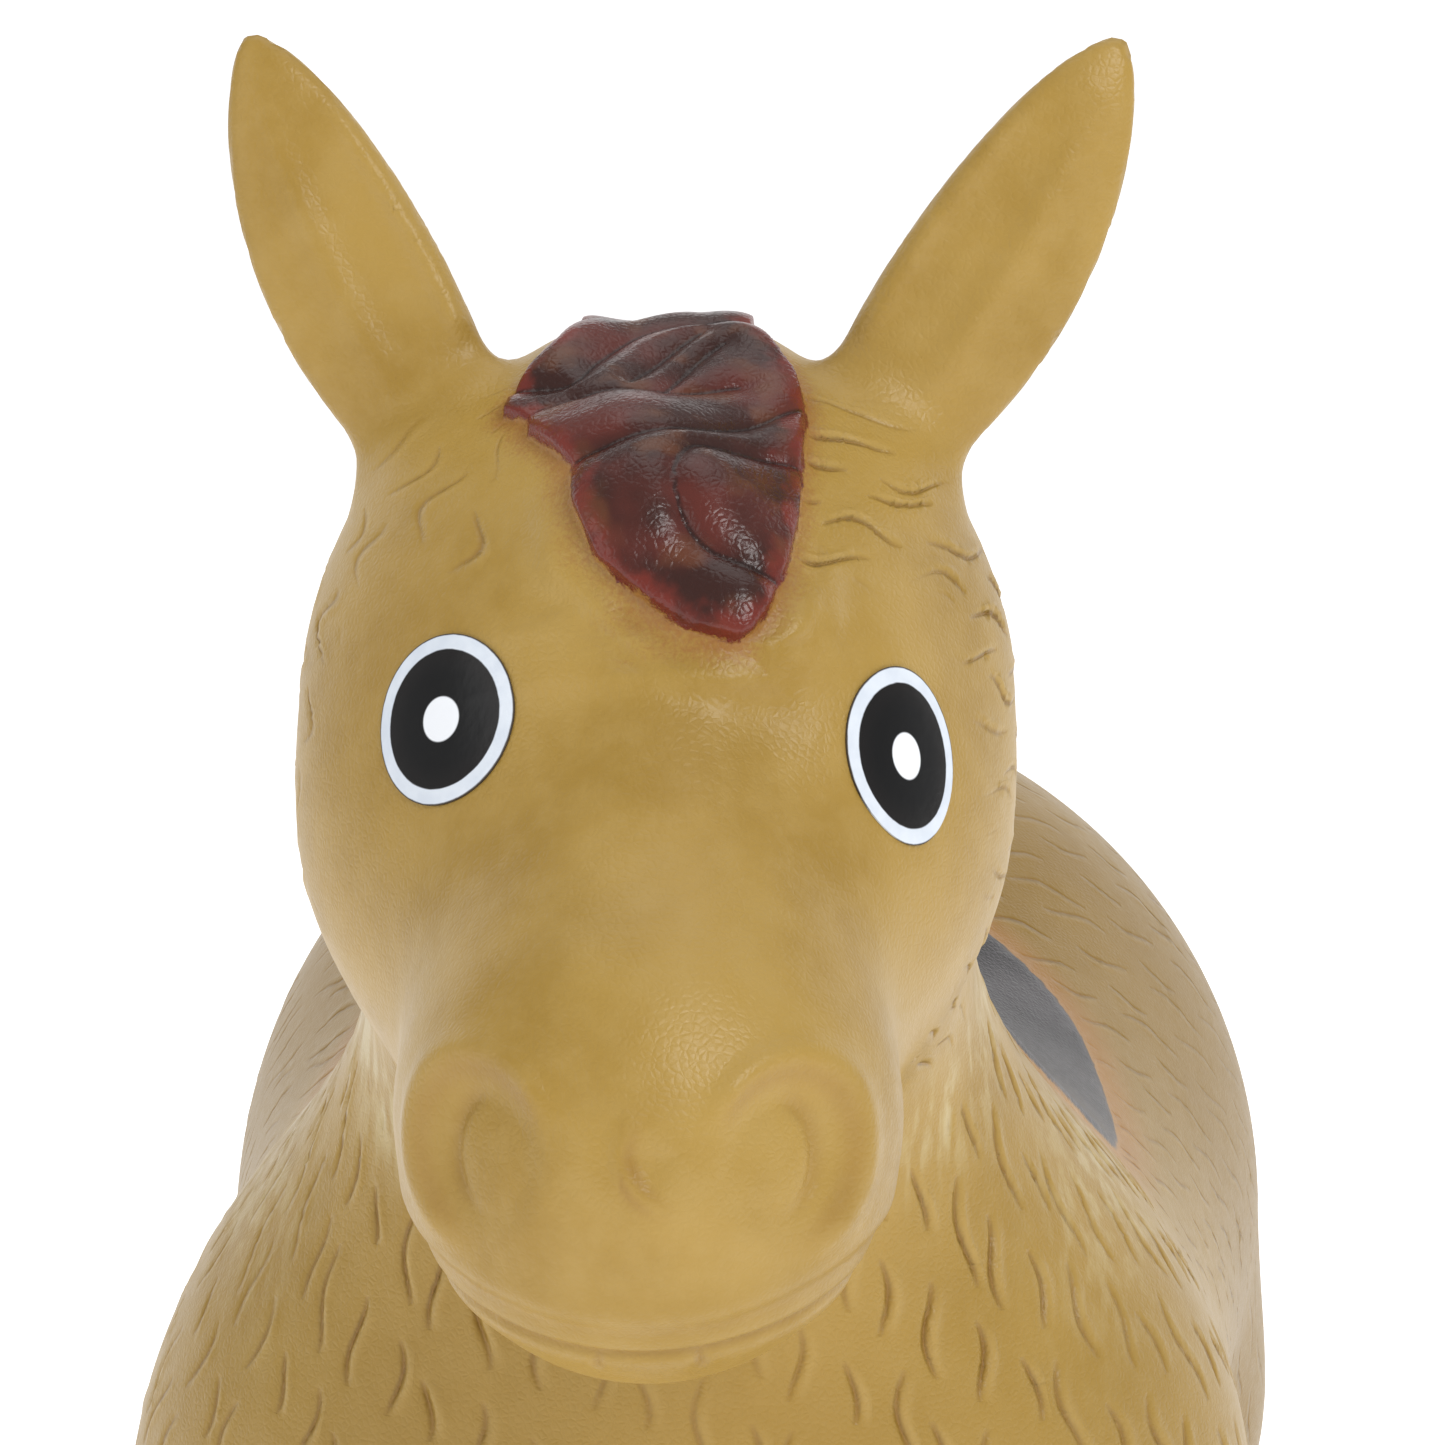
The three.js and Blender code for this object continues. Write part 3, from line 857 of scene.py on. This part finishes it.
def skin_material():
    """Tan PVC with engraved fur, sprayed brown hair and a sprayed grey saddle."""
    n = Nodes("tan_pvc")
    hair_mm, saddle_mm, crease_shade = n.attribute("hair"), n.attribute("saddle"), n.attribute("crease_shade")
    groove, lip = n.fur("fur")
    back_groove, back_lip = n.fur("fur_back")
    groove = n.math("ADD", groove, n.mul(back_groove, 0.85), clamp=True)
    lip = n.math("ADD", lip, n.mul(back_lip, 0.85), clamp=True)

    spray = n.ramp(n.noise(22, 3), 0.35, 0.68)
    blotch = n.ramp(n.noise(120, 4, rough=0.62), 0.35, 0.7)
    tan = n.mix(spray, colour(174, 141, 68), colour(158, 125, 51))
    tan = n.mix(n.mul(blotch, 0.35), tan, colour(178, 148, 84))
    height = n.node("ShaderNodeSeparateXYZ", Vector=n.place()).outputs[2]
    # Painted shade: the tan is darkened lower down, towards the chest and legs.
    tan = n.mix(n.ramp(height, 0.32, 0.22, 0.0, 0.6), tan, colour(158, 126, 54))
    # Painted highlight on the lip beside each fur groove, and painted shade in the groove itself.
    tan = n.mix(n.mul(lip, 0.3), tan, colour(196, 166, 104))
    tan = n.mix(n.mul(groove, 0.7), tan, colour(124, 84, 32))
    # Painted shade: the creases of the moulded detail are darkened in the tan.
    tan = n.mix(n.mul(crease_shade, 0.55), tan, colour(140, 98, 40))

    # Painted highlight: pale sheen streaks in the cheek folds and along the shoulder crests.
    sheen_streaks = n.mul(n.attribute("sheen_mask"), n.ramp(n.noise(130, 3, stretch=(2.2, 1.2, 0.5)), 0.42, 0.66))
    tan = n.mix(n.mul(sheen_streaks, 0.6), tan, colour(206, 192, 150))
    # Painted shade: the tan is darkened towards the rump at the back.
    behind = n.node("ShaderNodeSeparateXYZ", Vector=n.place()).outputs[1]
    tan = n.mix(n.ramp(behind, -0.02, 0.1, 0.0, 0.5), tan, colour(128, 98, 40))

    mist = n.sub(n.noise(1100, 3, rough=0.7), 0.5)
    streak = n.sub(n.noise(150, 3), 0.5)
    hair_at = n.add(hair_mm, n.add(n.mul(mist, 1.6), n.mul(streak, 3.6)))
    hair_on = n.ramp(hair_at, -0.35, 0.35)
    brown = n.mix(n.ramp(n.noise(55, 2), 0.38, 0.66), colour(54, 26, 20), colour(92, 39, 31))
    brown = n.mix(n.mul(n.ramp(n.noise(85, 2), 0.52, 0.7), 0.6), brown, colour(104, 60, 34))
    red_low = n.ramp(n.add(hair_mm, n.mul(streak, 14.0)), 6.0, 0.5)
    brown = n.mix(n.mul(red_low, 0.7), brown, colour(124, 46, 36))
    # Painted shade: the creases between the locks are darkened in the brown.
    brown = n.mix(n.mul(n.ramp(crease_shade, 0.25, 0.9), 0.75), brown, colour(30, 13, 10))
    halo_at = n.add(n.mul(n.noise(40, 2), 7.0), n.add(hair_mm, n.mul(mist, 9.0)))
    halo = n.mul(n.ramp(halo_at, -2.0, 4.5), 0.55)
    base = n.mix(halo, tan, colour(140, 72, 40))
    base = n.mix(hair_on, base, brown)

    saddle_at = n.add(saddle_mm, n.mul(n.sub(n.noise(60, 3), 0.5), 3.0))
    saddle_at = n.add(saddle_at, n.mul(mist, 2.5))
    grey = n.mix(n.ramp(n.noise(45, 3), 0.3, 0.7), colour(40, 36, 38), colour(66, 62, 64))
    glow = n.mul(n.ramp(saddle_at, -16.0, 0.0), 0.4)
    base = n.mix(n.mul(glow, n.sub(1.0, hair_on)), base, colour(176, 104, 36))
    saddle_on = n.mul(n.ramp(saddle_at, -0.6, 0.6), n.sub(1.0, hair_on))
    base = n.mix(saddle_on, base, grey)
    n.feed(n.shader.inputs["Base Color"], base)

    rough = n.add(n.mul(n.noise(300, 2), 0.12), 0.31)
    rough = n.sub(rough, n.mul(hair_on, 0.13))
    n.feed(n.shader.inputs["Roughness"], n.sub(rough, n.mul(saddle_on, 0.04)))
    n.shader.inputs["Specular IOR Level"].default_value = 0.38

    leather = n.math("MINIMUM", n.mul(n.grain(620), 0.2), 0.055)
    leather = n.add(leather, n.mul(n.noise(1500, 1), 0.05))
    strokes = n.mul(n.sub(n.mul(lip, 0.45), groove), 0.55)
    combed = n.mul(n.mul(n.noise(190, 2, stretch=(1.0, 0.6, 0.5)), hair_on), 0.3)
    normal = n.bump(n.add(n.add(leather, strokes), combed), 0.001)
    n.feed(n.shader.inputs["Normal"], normal)
    return n.material


def eye_material():
    """A printed vinyl sticker: white ring, black iris with a soft brown bloom, and a white dot."""
    n = Nodes("eye_vinyl")
    parts = n.node("ShaderNodeSeparateXYZ", Vector=n.attribute("print", "Vector"))
    x, y, _ = parts.outputs
    middle = n.math("SQRT", n.add(n.mul(x, x), n.mul(y, y)))
    ink = n.mul(n.sub(n.noise(500, 2), 0.5), 0.012)
    out = n.add(middle, ink)
    white = n.mix(n.ramp(n.noise(200, 2), 0.3, 0.7), colour(222, 229, 238), colour(212, 220, 231))
    black = n.mix(n.ramp(out, 0.5, 0.8), colour(14, 14, 15), colour(24, 22, 22))
    base = n.mix(n.ramp(out, 0.805, 0.825), black, white)
    base = n.mix(n.ramp(out, 0.975, 0.992), base, colour(70, 62, 56))
    base = n.mix(n.ramp(middle, 0.275, 0.25), base, colour(240, 243, 248))
    n.feed(n.shader.inputs["Base Color"], base)
    n.feed(n.shader.inputs["Roughness"], n.add(n.mul(n.noise(350, 2), 0.08), 0.2))
    n.shader.inputs["Specular IOR Level"].default_value = 0.3
    n.feed(n.shader.inputs["Normal"], n.bump(n.noise(420, 3), 0.0002, 0.35))
    return n.material


def stopper_material():
    """Cream injection-moulded polyethylene with a fine matt texture."""
    n = Nodes("stopper_plastic")
    tone = n.ramp(n.noise(240, 3), 0.3, 0.7)
    base = n.mix(tone, colour(233, 230, 220), colour(224, 219, 205))
    n.feed(n.shader.inputs["Base Color"], base)
    n.feed(n.shader.inputs["Roughness"], n.add(n.mul(n.noise(900, 2), 0.14), 0.38))
    n.shader.inputs["Subsurface Weight"].default_value = 0.15
    n.shader.inputs["Subsurface Radius"].default_value = (0.002, 0.0018, 0.0014)
    n.shader.inputs["Subsurface Scale"].default_value = 1.0
    n.feed(n.shader.inputs["Normal"], n.bump(n.noise(2600, 2), 0.00006, 0.5))
    return n.material


def floor_material():
    n = Nodes("studio_floor")
    tone = n.ramp(n.noise(3, 2), 0.3, 0.7)
    n.feed(n.shader.inputs["Base Color"], n.mix(tone, (0.97, 0.97, 0.97, 1), (0.95, 0.95, 0.95, 1)))
    n.shader.inputs["Roughness"].default_value = 0.7
    n.shader.inputs["Specular IOR Level"].default_value = 0.1
    n.shader.inputs["Emission Color"].default_value = (1.0, 1.0, 1.0, 1.0)
    n.shader.inputs["Emission Strength"].default_value = 0.5
    return n.material


# ---------------------------------------------------------------- pieces


def eye_sticker(node, half_width, half_height, material):
    """A thin printed disc that follows the skin under it."""
    low, high = (np.array(v) * 1000 - [0, OFFSET_Y, 0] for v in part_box(node))
    centre = settle(horse, ((low + high) / 2 + EYE_NUDGE)[None])
    out = slope(horse, centre)[0]
    out /= np.linalg.norm(out)
    right = np.cross([0, 0, 1.0], out)
    right /= np.linalg.norm(right)
    up = np.cross(out, right)
    spokes, rings = 96, 20
    turn = np.arange(spokes) * 2 * math.pi / spokes
    shares = [0.0] + [(i + 1) / rings for i in range(rings)]
    flat = [(0.0, 0.0)]
    for share in shares[1:]:
        pinch = 1 - 0.09 * np.clip(-np.sin(turn), 0, 1) ** 2 * (half_height > half_width)
        flat += list(zip(share * np.cos(turn) * pinch, share * np.sin(turn)))
    flat = np.array(flat)
    spots = centre + flat[:, :1] * half_width * right + flat[:, 1:] * half_height * up
    spots = settle(horse, spots)
    g = slope(horse, spots)
    normals = g / np.linalg.norm(g, axis=1)[:, None]
    lift, _ = relief(spots)
    share = np.repeat(shares, [1] + [spokes] * rings)
    crown = 0.62 - 0.12 * smoothstep(share, 0.93, 1.0)
    top = spots + normals * (lift + crown)[:, None]
    under = spots + normals * (lift + 0.12)[:, None]
    count = len(top)
    faces = [(0, 1 + i, 1 + (i + 1) % spokes) for i in range(spokes)]
    for ring in range(rings - 1):
        a = 1 + ring * spokes
        for i in range(spokes):
            k = (i + 1) % spokes
            faces.append((a + i, a + spokes + i, a + spokes + k, a + k))
    below = [tuple(v + count for v in reversed(f)) for f in faces]
    rim = 1 + (rings - 1) * spokes
    ends = [(rim + i, rim + (i + 1) % spokes) for i in range(spokes)]
    wall = [(a, a + count, b + count, b) for a, b in ends]
    obj = mesh_object(node + "_print", np.vstack([top, under]), faces + below + wall)
    both = np.vstack([flat, flat])
    add_attribute(obj, "print", np.column_stack([both, np.repeat([0.0, 1.0], count)]))
    obj.data.materials.append(material)
    obj.data.set_sharp_from_angle(angle=math.radians(50))
    return obj


def turned(name, profile, seat, axis, spokes=72):
    """A solid of revolution from (radius, height) points, closed at both ends on its axis."""
    axis = np.array(axis)
    side = np.array([1.0, 0, 0])
    other = np.cross(axis, side)
    verts, faces = [], []
    for radius, height in profile:
        for i in range(spokes):
            a = i * 2 * math.pi / spokes
            verts.append(seat + axis * height + (side * math.cos(a) + other * math.sin(a)) * radius)
    for ring in range(len(profile) - 1):
        for i in range(spokes):
            k = (i + 1) % spokes
            a = ring * spokes
            faces.append((a + i, a + k, a + spokes + k, a + spokes + i))
    faces.append(tuple(reversed(range(spokes))))
    faces.append(tuple(range((len(profile) - 1) * spokes, len(profile) * spokes)))
    obj = mesh_object(name, np.array(verts), faces)
    obj.data.set_sharp_from_angle(angle=math.radians(35))
    return obj


def rounded(radius, low, high, corner):
    """The outline of a disc's edge with rounded corners, from its underside to its top."""
    points = []
    for a in (math.radians(15 * step) for step in range(-6, 7) if step):
        end = low + corner if a < 0 else high - corner
        points.append((radius - corner + corner * math.cos(a), end + corner * math.sin(a)))
    return points


plain, shaped, faces, facts = build_skin()
skin = (shaped, faces, facts, vertex_normals(shaped, faces))
middles = np.array([plain[f].mean(0) for f in faces])

tan = skin_material()
taken = np.zeros(len(faces), bool)
for ear in EARS:
    q = ear.local(middles)
    root = (q[:, 2] > 4) & (np.hypot(q[:, 0] / 27, q[:, 1] / 25) < 1)
    blade = (q[:, 2] > 12) & (np.hypot(q[:, 0], q[:, 1]) < 34)
    chosen = (root | blade) & ~taken & (forelock_edge(middles) < -0.5)
    taken |= chosen
    name = ear.side + "_ear"
    piece = cut_out(name + "_soft", chosen, skin)
    piece.data.materials.append(tan)
    to_metres(ear.world([0, 0, 6.0])).tolist()
    to_metres(ear.world([0, 0, 26.0])).tolist()
    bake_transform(piece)
    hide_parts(name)

on_head = above_neck(middles) > 0
zones = {
    "head_skin": on_head & (middles[:, 1] < FACE_END),
    "crown_skin": on_head & (middles[:, 1] >= FACE_END),
    "chest_skin": ~on_head & (middles[:, 1] < CHEST_END) & (middles[:, 0] >= 0),
    "chest_skin_right": ~on_head & (middles[:, 1] < CHEST_END) & (middles[:, 0] < 0),
    "rump_skin": ~on_head & (middles[:, 1] >= CHEST_END),
}
for name, zone in zones.items():
    piece = cut_out(name, zone & ~taken, skin)
    piece.data.materials.append(tan)
    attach(piece, "horse")
    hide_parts("air_skin")

vinyl = eye_material()
for node, (half_width, half_height) in EYE_HALF_SIZES.items():
    piece = eye_sticker(node, half_width, half_height, vinyl)
    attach(piece, "horse")
    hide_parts(node)

shank = [(3.1, -21.2), (3.3, -20.6), (3.4, -18), (4.15, -16.4), (4.15, -15.6), (3.75, -15), (3.8, -10)]
shank += [(4.2, -9.2), (4.2, -8.4), (3.9, -7.6), (3.95, 0.35)]
cap = rounded(8.5, 0.35, 2.55, 0.8)
face = [(6.6, 2.55), (6.3, 2.25), (2.6, 2.05), (2.3, 2.35), (1.6, 2.5), (0.01, 2.55)]
plug = turned("air_stopper_detail", [(0.01, -21.3)] + shank + cap + face, VALVE_SEAT, VALVE_AXIS)
plug.data.materials.append(stopper_material())
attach(plug, "stopper_body")
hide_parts("air_stopper")

# ---------------------------------------------------------------- studio and camera


def sheet_object(name, profile, half, material):
    """A long sheet swept along X from (Y, Z) points, all in metres."""
    mesh = bpy.data.meshes.new(name)
    verts = [(side * half, y, z) for y, z in profile for side in (-1, 1)]
    faces = [(2 * i, 2 * i + 1, 2 * i + 3, 2 * i + 2) for i in range(len(profile) - 1)]
    mesh.from_pydata(verts, [], faces)
    mesh.polygons.foreach_set("use_smooth", [True] * len(faces))
    mesh.materials.append(material)
    obj = bpy.data.objects.new(name, mesh)
    bpy.context.scene.collection.objects.link(obj)
    return obj


bend = [
    (9.0 + 3 * math.sin(math.radians(a)), 3 - 3 * math.cos(math.radians(a))) for a in range(0, 91, 6)
]
floor = sheet_object("studio_floor", [(-7.0, 0.0)] + bend + [(12.0, 8.0)], 12.0, floor_material())


def area_light(name, place, aim, size, power):
    data = bpy.data.lights.new(name, "AREA")
    data.shape, data.size, data.size_y = "RECTANGLE", size[0], size[1]
    data.energy = power
    obj = bpy.data.objects.new(name, data)
    obj.location = place
    obj.rotation_euler = (Vector(aim) - Vector(place)).to_track_quat("-Z", "Y").to_euler()
    bpy.context.scene.collection.objects.link(obj)


area_light("key", (1.1, -1.7, 1.7), (0, -0.1, 0.3), (0.9, 0.9), 21)
area_light("fill", (-1.8, -1.5, 1.1), (0, -0.1, 0.3), (1.4, 1.4), 7)
area_light("top", (0.1, 0.2, 2.3), (0, 0, 0.3), (1.8, 1.4), 8)
area_light("rim_left", (1.9, 1.1, 1.2), (0, 0, 0.3), (0.7, 1.4), 3)
area_light("rim_right", (-1.9, 1.1, 1.2), (0, 0, 0.3), (0.7, 1.4), 3)

world = bpy.data.worlds.new("studio")
world.use_nodes = True
world.node_tree.nodes["Background"].inputs["Color"].default_value = (1.0, 1.0, 1.0, 1.0)
world.node_tree.nodes["Background"].inputs["Strength"].default_value = 0.5
bpy.context.scene.world = world
bpy.context.scene.view_settings.view_transform = "Standard"

# Seen from a little above the eyes, and a little to the horse's left.
HEAD_AIM = Vector((0.0156, -0.192, 0.388))
AZIMUTH, ELEVATION, DISTANCE = math.radians(3.8), math.radians(11.5), 1.1
camera_data = bpy.data.cameras.new("camera")
camera_data.lens, camera_data.sensor_width = 137.8, 36.0
camera = bpy.data.objects.new("camera", camera_data)
back_off = Vector(
    (math.sin(AZIMUTH) * math.cos(ELEVATION), -math.cos(AZIMUTH) * math.cos(ELEVATION), math.sin(ELEVATION))
)
camera.location = HEAD_AIM + back_off * DISTANCE
camera.rotation_euler = (-back_off).to_track_quat("-Z", "Y").to_euler()
bpy.context.scene.collection.objects.link(camera)
bpy.context.scene.camera = camera
